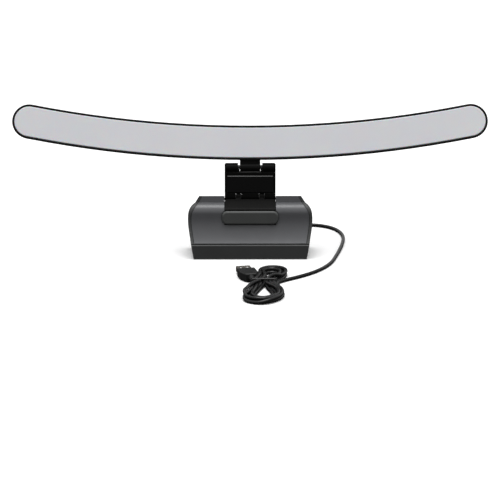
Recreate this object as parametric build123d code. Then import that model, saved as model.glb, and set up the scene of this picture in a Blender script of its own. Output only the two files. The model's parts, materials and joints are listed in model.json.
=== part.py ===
from build123d import *
import math
import os

# Monitor light bar. Millimetres. The lamp stands on the flat bottom of its base at z = 0,
# X runs along the bar, -Y is the side that the light faces, and the origin is under the hinges.

os.makedirs("parts", exist_ok=True)

# Base: a moulded counterweight body
BASE_BOTTOM_HALF = 49.4
BASE_FLARE_HALF = 53.5
BASE_FLARE_Z = 24.0
BASE_WIDEST_HALF = 54.35
BASE_SHOULDER_Z = 35.5
HUMP_FOOT_HALF = 48.1
HUMP_TOP_HALF = 44.5
HUMP_FOOT_Z = 47.3
BASE_TOP_Z = 53.1
BASE_REAR_Y = 21.0
BASE_FRONT_FOOT_Y = -19.6
BAND_TOP_Y = -20.6
BAND_TOP_Z = 13.2
FACE_LOW_Z = 14.1
FACE_Y = -12.8
FACE_TANGENT_Z = 36.0
FACE_RADIUS = 36.2
FACE_TOP_Z = 39.3
FACE_TOP_RADIUS = 8.0
HUMP_FRONT_Y = -4.2
HUMP_LEAN = 0.6
BASE_REAR_RADIUS = 7.0
REAR_FALL_ANGLE = 16.0
FOOT_BELOW = 8.0
FOOT_BELOW_HALF = 48.1
SLOPE_STRETCH = 1.6
BAND_BEVEL = 0.8
WALL = 2.0
REAR_WALL = 3.8
FLOOR_Z = 2.0

# Inset front panel
PANEL_THICK = 2.0
PANEL_RIM = 3.0
PANEL_SIDE_GAP = 0.45
PANEL_FOOT_GAP = 0.5
PANEL_LOW_Z = 14.3
PANEL_BACK_WALL = 1.4
HUMP_PLATE_THICK = 1.6
HUMP_PLATE_GAP = 0.15
MOAT_DEPTH = 0.6
MOAT_WIDTH = 0.75
MOAT_TOP_Z = 43.5

# Channel that the saddle lies in
CHANNEL_HALF = 22.55
CHANNEL_WALL = 1.8
CHANNEL_FRONT_Z = 29.2
CHANNEL_FRONT_Y = -8.4
CHANNEL_FLOOR_Z = 37.5
CHANNEL_REAR_Y = 17.0
CHANNEL_SILL_Z = 46.0

# Rear lid of the base
LID_HALF = 44.0
LID_LOW_Z = 4.2
LID_HIGH_Z = 37.0
LID_RADIUS = 4.0
LID_GAP = 0.15
LID_OPENING_HALF = 40.2
LID_OPENING_LOW_Z = 7.2
LID_OPENING_HIGH_Z = 31.6
LID_SCREW_X = 38.3
LID_SCREW_Z = (9.3, 29.2)
BOSS_RADIUS = 3.0
BOSS_DEPTH = 11.0

LID_PILOT_RADIUS = 1.25
LID_HOLE_RADIUS = 1.4
LID_SINK_RADIUS = 2.4
LID_SINK_DEPTH = 1.0
LID_HEAD_RADIUS = 2.2
LID_SHANK_RADIUS = 1.2
LID_SHANK_LENGTH = 8.0
LID_CROSS = (1.3, 0.25, 0.6)
LID_SOCKET_SIZE = (9.4, 3.6)
LID_EDGE = 0.4

# Cavity of the base behind its front face, as steps back from the face (y) and heights (z)
CAVITY_FRONT = ((-3.9, 2.0), (-3.9, 11.0), (-2.0, 19.0), (1.0, 26.0))
CAVITY_STEP_Z = (34.0, 41.0, 42.5)

# Counterweight and its pads
WEIGHT_SIZE = (84.0, 17.0, 21.0)
WEIGHT_Y = -0.8
WEIGHT_EDGE = 1.0
PAD_THICK = 1.2
PAD_HALF = (6.0, 7.0)
PAD_X = (-30.0, 0.0, 30.0)

# Hinge axes, all along X
CLAMP_Y, CLAMP_Z = 9.0, 44.5
ARM_Y, ARM_Z = 2.0, 51.5
TILT_Y, TILT_Z = 2.0, 77.5
PIN_RADIUS = 1.5
FIXED_GAP = 0.02
RUN_GAP = 0.06
KNUCKLE_RADIUS = 3.2
TILT_KNUCKLE_RADIUS = 3.8
CLAMP_PIN_HALF = 24.4
ARM_PIN_HALF = 21.2
TILT_PIN_HALF = 22.2

# Saddle
SADDLE_HALF = 22.0
SADDLE_THICK = 2.4
SADDLE_TOP = (-1.75, 49.7)
SADDLE_FRONT = (-12.4, 44.3)
TONGUE_FRONT_Y = -12.3
TONGUE_BACK_Y = -10.2
TONGUE_LOW_Z = 30.8
TONGUE_HALF = 20.0
RIB_X = (14.0, 17.0)
SADDLE_KNUCKLE_X = (8.2, 12.2)
RIB_SIDE = ((-8.5, 43.6), (-3.0, 46.4), (0.0, 47.7), (9.0, 47.7), (9.0, 41.3), (0.0, 41.8), (-8.5, 42.2))
WASHER_THICK = 0.36
WASHER_RADIUS = 2.9
WASHER_GAP = 0.07

# Clamp springs
SPRING_RADIUS = 2.6
SPRING_WIRE_RADIUS = 0.4
SPRING_TURNS = 4
SPRING_PITCH = 0.95
SPRING_X = 17.7

# Front lip
LIP_HALF = 24.6
LIP_LOW_Z = 29.9
LIP_HIGH_Z = 41.9
LIP_FRONT_Y = -15.2
LIP_BACK_Y = -12.35
LIP_CORNER = 4.6
LIP_EDGE = 1.7
LIP_SCREW_X = 13.0
LIP_SCREW_Z = 35.5
LIP_SHANK_RADIUS = 1.0
LIP_HEAD_RADIUS = 1.9
LIP_HEAD_HIGH = 0.9
LIP_PAD_HALF = 18.0
LIP_PAD_Z = (31.2, 41.0)
SADDLE_PAD_HALF = 12.0
SADDLE_PAD_Y = (-3.0, -8.2)
SADDLE_PAD_DEPTH = (0.05, 1.25)

# Arm
ARM_HALF = 22.25
ARM_CENTRE_KNUCKLE = 7.7
ARM_OUTER_KNUCKLE = (12.7, 22.2)
ARM_FRONT_Y = -1.2
ARM_BACK_Y = 5.2
ARM_PLATE_HALF = 20.2
ARM_PLATE_Z = (55.2, 70.6)
ARM_RIDGE_Z = (71.3, 73.2)
EAR_X = (10.6, 22.25)
EAR_ROOT_X = 9.15
EAR_ROOT_Z = 75.5
EAR_CORNER = 1.0
TILT_WASHER_RADIUS = 1.9
ARM_LOW_Z = 54.6
ARM_LID_HALF = 20.55
ARM_LID_Z = (56.35, 71.85)
ARM_LID_Y = 3.45
ARM_LID_GAP = 0.15
ARM_DUCT_HALF = 17.0
ARM_DUCT_Z = (58.0, 70.0)
ARM_SCREW_X = 18.8
ARM_SCREW_Z = (58.6, 69.6)
ARM_HEAD_RADIUS = 1.5
ARM_CROSS = (0.9, 0.18, 0.4)
ARM_WIRE_RADIUS = 0.55

# Head: a bar bent to an arc, set up in its own frame (along the bar, up, towards the light side)
HEAD_TILT = 15.0
BAR_RADIUS = 1000.0
BAR_HALF_CHORD = 192.5
BAR_HALF_WIDTH = 15.0
BAR_RISE = 21.3
BAR_BACK = -6.0
BAR_SPLIT = 2.4
BAR_FRONT = 5.0
BAR_FLOOR = 1.6
RIM_WIDTH = 1.8
BARREL_HALF = 8.9
NECK_HALF_THICK = 2.4
LED_COUNT = 44
LED_HALF_ANGLE = 10.4
BOARD_SCREW_ANGLES = (1.2, 5.5, 10.1)
BOARD_LOW = -2.4
BOARD_HIGH = -1.2
BOARD_HALF_WIDTH = 5.6
FILM_THICK = 0.3
LED_SIZE = (3.5, 2.8, 0.7)
NECK_SCREW_X = 11.5
NECK_SCREW_Y = 12.6

# Touch control in the head: places along the arc in degrees, parts as (x, y, wide, long)
CONTROL_ANGLE = 3.25
CONTROL_BOARD_SIZE = (40.0, 15.0, 1.0)
CONTROL_PART_HIGH = 0.6
CONTROL_PARTS = (
    (-14.0, -3.0, 4.0, 4.0),
    (-6.0, 3.0, 5.0, 5.0),
    (3.0, -2.0, 3.0, 2.0),
    (8.0, 3.5, 6.0, 4.0),
    (15.0, -3.0, 4.0, 3.0),
    (12.0, -3.5, 1.6, 3.0),
)
ELECTRODE_ANGLE = 6.8
ELECTRODE_SIZE = (24.0, 12.0, 0.3)
HEAD_WIRE_ROUTE = ((3.0, 10.4), (12.0, 10.4), (26.0, 12.0), (36.5, 12.9))
HEAD_WIRE_SPACING = 1.3
HEAD_WIRE_LEVEL = -2.7
HEAD_WIRE_RADIUS = 0.38

# USB-C inlet and its plug: widths and heights of the sections
SOCKET_X = 24.0
SOCKET_Z = 14.0
SOCKET_OUTER = (8.94, 3.16)
SOCKET_INNER = (8.34, 2.56)
SOCKET_DEPTH = 7.3
SOCKET_TONGUE_HALF = (3.3, 0.35)
PLUG_OUTER = (8.25, 2.4)
PLUG_INNER = (7.55, 1.7)
PLUG_DEPTH = 6.3
PLUG_BODY = (12.0, 6.2)
PLUG_BODY_CORNER = 2.6
PLUG_BODY_LENGTH = 19.0
PLUG_STANDOFF = 0.6
RELIEF_RADII = (2.7, 1.9)
RELIEF_GROOVES = 3
RELIEF_PITCH = 2.2
RELIEF_GROOVE = 0.7

# Board behind the inlet, parts as (x0, x1, y0, y1, high)
POWER_BOARD_HALF = 12.0
POWER_BOARD_FRONT_Y = 8.6
POWER_BOARD_THICK = 1.15
POWER_BOARD_DROP = 1.62
POWER_PARTS = (
    (14.5, 17.5, 12.8, 17.0, 1.0),
    (30.5, 35.0, 10.0, 14.5, 2.4),
    (31.0, 33.0, 16.0, 17.3, 0.9),
    (19.0, 22.0, 9.4, 11.0, 0.9),
)
POWER_CAP = (26.5, 10.8, 1.7, 4.0)
POST_X = 9.0
POST_Y = 13.0
POST_TOP_Z = 11.2
POST_RADIUS = 2.0
BASE_WIRES = ((13.4, 9.0), (15.6, 12.0))
BASE_WIRE_RADIUS = 0.6

# Lead
CORD_DIAMETER = 3.0
CORD_ROUTE = [
    (24.0, 49.0, 14.0),
    (24.0, 61.0, 14.0),
    (26.5, 76.0, 7.6),
    (38.0, 90.0, 1.6),
    (58.0, 95.0, 1.6),
    (76.0, 83.0, 1.6),
    (84.0, 58.0, 1.6),
    (82.0, 26.0, 1.6),
    (76.0, -10.0, 1.6),
    (69.0, -44.0, 1.6),
    (52.0, -73.0, 1.6),
    (24.5, -97.5, 1.6),
]
HANK_X = 11.0
HANK_WAIST_Y = -108.0
HANK_WAIST_HALF = 9.4
HANK_OUTLINE = [
    (15.5, -56.2),
    (26.0, -59.5),
    (32.6, -70.0),
    (29.5, -87.0),
    (20.4, -108.0),
    (26.0, -124.0),
    (28.2, -138.0),
    (25.4, -153.0),
    (19.5, -163.0),
    (10.0, -167.0),
    (0.0, -164.0),
    (-7.0, -153.5),
    (-5.2, -138.5),
    (-1.0, -122.0),
    (1.4, -110.0),
    (0.2, -104.5),
    (2.2, -101.0),
    (6.4, -98.0),
    (7.6, -87.0),
    (5.0, -71.0),
    (7.6, -60.0),
]
HANK_HIGH = 6.6
TIE_THICK = 1.2
TIE_LENGTH = 4.0
USB_A_TIP = (-6.8, -63.0)
USB_A_TURN = 13.0
USB_A_Z = 3.9
USB_A_HALF = (6.0, 2.25)
USB_A_LENGTH = 12.2
USB_A_WALL = 0.3
USB_A_FLOOR = 0.7
USB_A_WINDOW_X = 2.9
USB_A_WINDOW_HALF = 1.0
USB_A_WINDOW_Y = (-6.6, -4.6)
USB_A_TONGUE_Y = (-11.45, -1.2)
USB_A_TONGUE_Z = (-1.9, -0.1)
USB_A_TONGUE_HALF = 5.6
USB_A_BODY_HALF = 7.75
USB_A_BODY_TAIL_HALF = 4.6
USB_A_BODY_Y = (-12.2, -24.0, -32.5)
USB_A_BODY_HIGH = 7.6
USB_A_BODY_EDGE = 1.2
USB_A_RELIEF_END_Y = -38.0
USB_A_RELIEF_RADII = (2.9, 1.9)

# How far cutting shapes run past the part
REACH = 60.0


def save(name, *solids):
    """Writes one node, which may hold several separate solids."""
    shape = solids[0] if len(solids) == 1 else Compound(children=list(solids))
    export_step(shape, f"parts/{name}.step")


def block(x0, x1, y0, y1, z0, z1):
    """An upright box between two corners."""
    centre = Pos((x0 + x1) / 2, (y0 + y1) / 2, (z0 + z1) / 2)
    return centre * Box(x1 - x0, y1 - y0, z1 - z0)


def both_sides(shape):
    """The shape and its mirror image in X."""
    return [shape, mirror(shape, about=Plane.YZ)]


def both_signs(x0, x1):
    """A stretch of X and its mirror image."""
    return [(x0, x1), (-x1, -x0)]


def rod_x(y, z, radius, x0, x1):
    """A round bar along X."""
    return Pos((x0 + x1) / 2, y, z) * Rot(0, 90, 0) * Cylinder(radius, x1 - x0)


def rod_y(x, z, radius, y0, y1):
    """A round bar along Y."""
    return Pos(x, (y0 + y1) / 2, z) * Rot(90, 0, 0) * Cylinder(radius, y1 - y0)


def rod_z(x, y, radius, z0, z1):
    """A round bar along Z."""
    return Pos(x, y, (z0 + z1) / 2) * Cylinder(radius, z1 - z0)


def cross_recess(x, z, y0, y1, reach, half):
    """The cross-shaped recess of a screw head, cut along Y."""
    level = block(x - reach, x + reach, y0, y1, z - half, z + half)
    return level + block(x - half, x + half, y0, y1, z - reach, z + reach)


def wire(points, radius, bend):
    """A round wire along straight runs with rounded bends."""
    line = FilletPolyline(*points, radius=bend)
    return sweep(Plane(origin=line @ 0, z_dir=line % 0) * Circle(radius), path=line)


def side_prism(points, x0, x1):
    """A prism whose cross-section is given as (y, z) corners."""
    face = make_face(Plane.YZ.offset(x0) * Polyline(*points, close=True))
    return extrude(face, amount=x1 - x0, dir=(1, 0, 0))


def face_profile(near, far, low_z, back_y=HUMP_FRONT_Y):
    """The strip between two offsets of the base's front face, as a face in the YZ plane."""
    centre = (FACE_Y - FACE_RADIUS, FACE_TANGENT_Z)
    top = (FACE_Y + FACE_TOP_RADIUS, FACE_TOP_Z)

    def line(depth):
        radius = FACE_RADIUS + depth
        start = math.degrees(math.asin((low_z - centre[1]) / radius))
        lower = CenterArc(centre, radius, start, -start)
        upper_radius = FACE_TOP_RADIUS - depth
        upper = CenterArc(top, upper_radius, 180, -90)
        rise = Line(lower @ 1, upper @ 0)
        run = Line(upper @ 1, (back_y, FACE_TOP_Z + upper_radius))
        return lower, rise, upper, run

    outer = line(near)
    inner = line(far)
    ends = [Line(outer[0] @ 0, inner[0] @ 0), Line(outer[3] @ 1, inner[3] @ 1)]
    return make_face(Curve() + [*outer, *inner, *ends])


def roof_z(y):
    """Height of the base's top, which falls towards the rear."""
    return BASE_TOP_Z - math.tan(math.radians(REAR_FALL_ANGLE)) * (y - HUMP_FRONT_Y - HUMP_LEAN)


def base_side_face():
    """The base's outline from the side."""
    centre = (FACE_Y - FACE_RADIUS, FACE_TANGENT_Z)
    start = math.degrees(math.asin((FACE_LOW_Z - centre[1]) / FACE_RADIUS))
    hollow = CenterArc(centre, FACE_RADIUS, start, -start)
    round_over = CenterArc((FACE_Y + FACE_TOP_RADIUS, FACE_TOP_Z), FACE_TOP_RADIUS, 180, -90)
    rear_y = BASE_REAR_Y - BASE_REAR_RADIUS
    rear_z = roof_z(rear_y) - BASE_REAR_RADIUS / math.cos(math.radians(REAR_FALL_ANGLE))
    rear = CenterArc((rear_y, rear_z), BASE_REAR_RADIUS, 90 - REAR_FALL_ANGLE, REAR_FALL_ANGLE - 90)
    heel = CenterArc((BASE_REAR_Y - WALL, WALL), WALL, 0, -90)
    edges = [
        Line((BASE_FRONT_FOOT_Y, 0), (BAND_TOP_Y, BAND_TOP_Z - BAND_BEVEL)),
        Line((BAND_TOP_Y, BAND_TOP_Z - BAND_BEVEL), (BAND_TOP_Y + BAND_BEVEL, BAND_TOP_Z)),
        Line((BAND_TOP_Y + BAND_BEVEL, BAND_TOP_Z), hollow @ 0),
        hollow,
        Line(hollow @ 1, round_over @ 0),
        round_over,
        Line(round_over @ 1, (HUMP_FRONT_Y, HUMP_FOOT_Z)),
        Line((HUMP_FRONT_Y, HUMP_FOOT_Z), (HUMP_FRONT_Y + HUMP_LEAN, BASE_TOP_Z)),
        Line((HUMP_FRONT_Y + HUMP_LEAN, BASE_TOP_Z), rear @ 0),
        rear,
        Line(rear @ 1, heel @ 0),
        heel,
        Line(heel @ 1, (BASE_FRONT_FOOT_Y, 0)),
    ]
    return Plane.YZ * make_face(Curve() + edges)


def base_front_face(inset=0.0):
    """The base's outline from the front, drawn in by an inset at the sides."""
    foot = BASE_BOTTOM_HALF - inset
    wide = BASE_WIDEST_HALF - inset
    below = FOOT_BELOW_HALF - inset
    flare = Line((foot, 0), (BASE_FLARE_HALF - inset, BASE_FLARE_Z))
    side = TangentArc(flare @ 1, (wide, BASE_SHOULDER_Z), tangent=flare % 1)
    leg = Line((below, -FOOT_BELOW), (foot, 0))
    shoulder = TangentArc((wide, BASE_SHOULDER_Z), (HUMP_FOOT_HALF - inset, HUMP_FOOT_Z), tangent=(0, 1))
    peak_half = HUMP_FOOT_HALF - inset - SLOPE_STRETCH * (HUMP_FOOT_HALF - HUMP_TOP_HALF)
    peak_z = HUMP_FOOT_Z + SLOPE_STRETCH * (BASE_TOP_Z - HUMP_FOOT_Z)
    slope = Line(shoulder @ 1, (peak_half, peak_z))
    right = [leg, flare, side, shoulder, slope]
    left = [mirror(edge, about=Plane.YZ) for edge in right]
    floor = Line((-below, -FOOT_BELOW), (below, -FOOT_BELOW))
    peak = Line((peak_half, peak_z), (-peak_half, peak_z))
    return Plane.XZ * make_face(Curve() + [*right, *left, floor, peak])


def front_prism(inset):
    """The front outline carried through the whole depth of the base, falling towards the rear."""
    fall = math.tan(math.radians(REAR_FALL_ANGLE))
    face = Pos(0, HUMP_FRONT_Y + HUMP_LEAN, 0) * base_front_face(inset)
    rear = extrude(face, amount=50, dir=(0, 1, -fall))
    front = extrude(face, amount=30, dir=(0, -1, 0))
    return rear + front


def strip_prism(near, far, low_z, back_y=HUMP_FRONT_Y):
    """A strip that follows the base's front face, across its whole width."""
    return extrude(Plane.YZ * face_profile(near, far, low_z, back_y), amount=REACH, both=True)


def hump_plate(grow):
    """The part of the front panel that stands against the hump, or the same grown into its pocket."""
    low = HUMP_FOOT_Z - PANEL_THICK - grow
    back = HUMP_FRONT_Y + HUMP_PLATE_THICK + grow
    top = BASE_TOP_Z + 2.0
    lean = HUMP_LEAN * (top - HUMP_FOOT_Z) / (BASE_TOP_Z - HUMP_FOOT_Z)
    front = HUMP_FRONT_Y - 2.0 * (grow > 0)
    corners = [(front, low), (back, low), (back, HUMP_FOOT_Z), (back + lean, top), (front + lean, top)]
    if grow == 0:
        corners.append((HUMP_FRONT_Y, HUMP_FOOT_Z))
    return side_prism(corners, -REACH, REACH)


def channel(grow=0.0):
    """The space that the saddle lies in, or the same grown by a wall."""
    points = [
        (-30, CHANNEL_FRONT_Z - grow),
        (CHANNEL_FRONT_Y + grow, CHANNEL_FRONT_Z - grow),
        (CHANNEL_FRONT_Y + grow, CHANNEL_FLOOR_Z - grow),
        (CHANNEL_REAR_Y + grow, CHANNEL_FLOOR_Z - grow),
        (CHANNEL_REAR_Y + grow, CHANNEL_SILL_Z - grow),
        (30, CHANNEL_SILL_Z - grow),
        (30, 70),
        (-30, 70),
    ]
    return side_prism(points, -CHANNEL_HALF - grow, CHANNEL_HALF + grow)


def lid_slab(grow, y0, y1):
    """The rear lid's plate with rounded corners."""
    wide = 2 * (LID_HALF + grow)
    high = LID_HIGH_Z - LID_LOW_Z + 2 * grow
    outline = Plane.XZ * RectangleRounded(wide, high, LID_RADIUS + grow)
    slab = extrude(outline, amount=-(y1 - y0))
    return Pos(0, y0, (LID_LOW_Z + LID_HIGH_Z) / 2) * slab


def usb_c_block(wide, high, y0, y1):
    """A bar with the flat, round-sided section of a USB-C part, along Y at the inlet."""
    outline = Plane.XZ * RectangleRounded(wide, high, high / 2 - 0.01)
    return Pos(SOCKET_X, y0, SOCKET_Z) * extrude(outline, amount=-(y1 - y0))


def lip_outline(grow):
    """The lip's rounded rectangle, seen from the front."""
    wide = 2 * (LIP_HALF + grow)
    high = LIP_HIGH_Z - LIP_LOW_Z + 2 * grow
    outline = Plane.XZ * RectangleRounded(wide, high, LIP_CORNER + grow)
    return Pos(0, 0, (LIP_LOW_Z + LIP_HIGH_Z) / 2) * outline


def make_base():
    """Base shell, front panel, lid, screws, weight and the clamp's pin."""
    outer = extrude(base_side_face(), amount=REACH, both=True) & front_prism(0)
    seat = strip_prism(-3, PANEL_THICK + HUMP_PLATE_GAP, PANEL_LOW_Z - PANEL_FOOT_GAP)
    seat += hump_plate(HUMP_PLATE_GAP)
    seat &= front_prism(PANEL_RIM - PANEL_SIDE_GAP)
    plate_back_y = HUMP_FRONT_Y + HUMP_PLATE_THICK
    hump_back_y = plate_back_y + HUMP_PLATE_GAP + WALL
    roof_wall = WALL / math.cos(math.radians(REAR_FALL_ANGLE))
    back = PANEL_THICK + HUMP_PLATE_GAP + PANEL_BACK_WALL
    inside = [(FACE_Y + step, z) for step, z in CAVITY_FRONT]
    inside += [
        (FACE_Y + back, CAVITY_STEP_Z[0]),
        (FACE_Y + back, CAVITY_STEP_Z[1]),
        (hump_back_y, CAVITY_STEP_Z[2]),
        (hump_back_y + HUMP_LEAN, roof_z(hump_back_y) - roof_wall),
        (BASE_REAR_Y - BASE_REAR_RADIUS, roof_z(BASE_REAR_Y - BASE_REAR_RADIUS) - roof_wall),
        (BASE_REAR_Y - REAR_WALL, roof_z(BASE_REAR_Y) - BASE_REAR_RADIUS),
        (BASE_REAR_Y - REAR_WALL, FLOOR_Z),
    ]
    cavity = side_prism(inside, -REACH, REACH) & front_prism(PANEL_RIM + 1.0)
    cavity = cavity - block(-REACH, REACH, -REACH, REACH, -1, FLOOR_Z) - channel(CHANNEL_WALL)
    housing = outer - seat - cavity - channel()
    housing -= lid_slab(LID_GAP, BASE_REAR_Y - WALL, BASE_REAR_Y + 1)
    ledge_y = BASE_REAR_Y - REAR_WALL
    housing -= block(
        -LID_OPENING_HALF, LID_OPENING_HALF, ledge_y - 1, BASE_REAR_Y, LID_OPENING_LOW_Z, LID_OPENING_HIGH_Z
    )
    lid_y = BASE_REAR_Y - WALL
    for z in LID_SCREW_Z:
        for boss in both_sides(rod_y(LID_SCREW_X, z, BOSS_RADIUS, lid_y - BOSS_DEPTH, lid_y)):
            housing += boss
        pilot_y = lid_y - LID_SHANK_LENGTH - 1
        for hole in both_sides(rod_y(LID_SCREW_X, z, LID_PILOT_RADIUS, pilot_y, lid_y + 1)):
            housing -= hole
    for x in (SOCKET_X - POST_X, SOCKET_X + POST_X):
        housing += rod_z(x, POST_Y, POST_RADIUS, FLOOR_Z - 1, POST_TOP_Z)
    for hole in both_sides(rod_x(CLAMP_Y, CLAMP_Z, PIN_RADIUS + FIXED_GAP, 21, 26)):
        housing -= hole
    for _, x in BASE_WIRES:
        housing -= rod_z(x, POST_Y, BASE_WIRE_RADIUS + 0.4, 30, 45)
    save("base_housing", housing)

    panel = strip_prism(0, PANEL_THICK, PANEL_LOW_Z, HUMP_FRONT_Y + HUMP_PLATE_THICK / 2) + hump_plate(0)
    panel &= front_prism(PANEL_RIM)
    panel &= outer
    panel -= channel()
    moat = extrude(lip_outline(MOAT_WIDTH), amount=40, both=True) & strip_prism(-3, MOAT_DEPTH, 20)
    panel -= moat & block(-30, 30, -30, -5, 20, MOAT_TOP_Z)
    save("base_front_panel", panel)

    lid = lid_slab(0, lid_y + 0.05, BASE_REAR_Y)
    lid = chamfer(lid.faces().sort_by(Axis.Y)[-1].edges(), LID_EDGE)
    reach, half, deep = LID_CROSS
    screws = []
    for z in LID_SCREW_Z:
        for x in (-LID_SCREW_X, LID_SCREW_X):
            lid -= rod_y(x, z, LID_HOLE_RADIUS, lid_y - 1, BASE_REAR_Y + 1)
            lid -= rod_y(x, z, LID_SINK_RADIUS, BASE_REAR_Y - LID_SINK_DEPTH, BASE_REAR_Y + 1)
            head = rod_y(x, z, LID_HEAD_RADIUS, BASE_REAR_Y - LID_SINK_DEPTH + FIXED_GAP, BASE_REAR_Y - 0.15)
            head += rod_y(x, z, LID_SHANK_RADIUS, lid_y - LID_SHANK_LENGTH, BASE_REAR_Y - 0.9)
            screws.append(head - cross_recess(x, z, BASE_REAR_Y - deep, BASE_REAR_Y, reach, half))
    lid -= usb_c_block(*LID_SOCKET_SIZE, lid_y - 1, BASE_REAR_Y + 1)
    save("base_rear_cover", lid)
    save("base_rear_screws", *screws)

    wide, deep, high = WEIGHT_SIZE
    low = FLOOR_Z + PAD_THICK
    weight = Pos(0, WEIGHT_Y, low + high / 2) * Box(wide, deep, high)
    save("counterweight", chamfer(weight.edges().filter_by(Axis.Z), WEIGHT_EDGE))
    half_x, half_y = PAD_HALF
    pads = [block(x - half_x, x + half_x, WEIGHT_Y - half_y, WEIGHT_Y + half_y, FLOOR_Z, low) for x in PAD_X]
    save("counterweight_pads", *pads)
    save("clamp_pin", rod_x(CLAMP_Y, CLAMP_Z, PIN_RADIUS, -CLAMP_PIN_HALF, CLAMP_PIN_HALF))


def make_inlet():
    """USB-C inlet, its board and the wires that leave the base."""
    y1 = BASE_REAR_Y
    shell = usb_c_block(*SOCKET_OUTER, y1 - SOCKET_DEPTH, y1)
    save("usb_socket_shell", shell - usb_c_block(*SOCKET_INNER, y1 - SOCKET_DEPTH + 0.4, y1 + 1))
    half_x, half_z = SOCKET_TONGUE_HALF
    tongue = Pos(SOCKET_X, 0, SOCKET_Z) * block(-half_x, half_x, y1 - 6.88, y1 - 1.6, -half_z, half_z)
    save("usb_socket_tongue", tongue)
    top = SOCKET_Z - POWER_BOARD_DROP
    rear_y = BASE_REAR_Y - WALL - 0.2
    low = top - POWER_BOARD_THICK
    board = block(-POWER_BOARD_HALF, POWER_BOARD_HALF, POWER_BOARD_FRONT_Y, rear_y, low, top)
    save("power_board", Pos(SOCKET_X, 0, 0) * board)
    parts = [block(x0, x1, y0, y1, top, top + high) for x0, x1, y0, y1, high in POWER_PARTS]
    x, y, radius, high = POWER_CAP
    parts.append(rod_z(x, y, radius, top, top + high))
    save("power_parts", *parts)
    wires = []
    for start, x in BASE_WIRES:
        points = [(start, 10.6, top + 0.05), (start, 10.6, 21.0), (x, POST_Y, 27.0), (x, POST_Y, 38.6)]
        wires.append(wire(points, BASE_WIRE_RADIUS, 3.0))
    save("base_wires", *wires)


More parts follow.
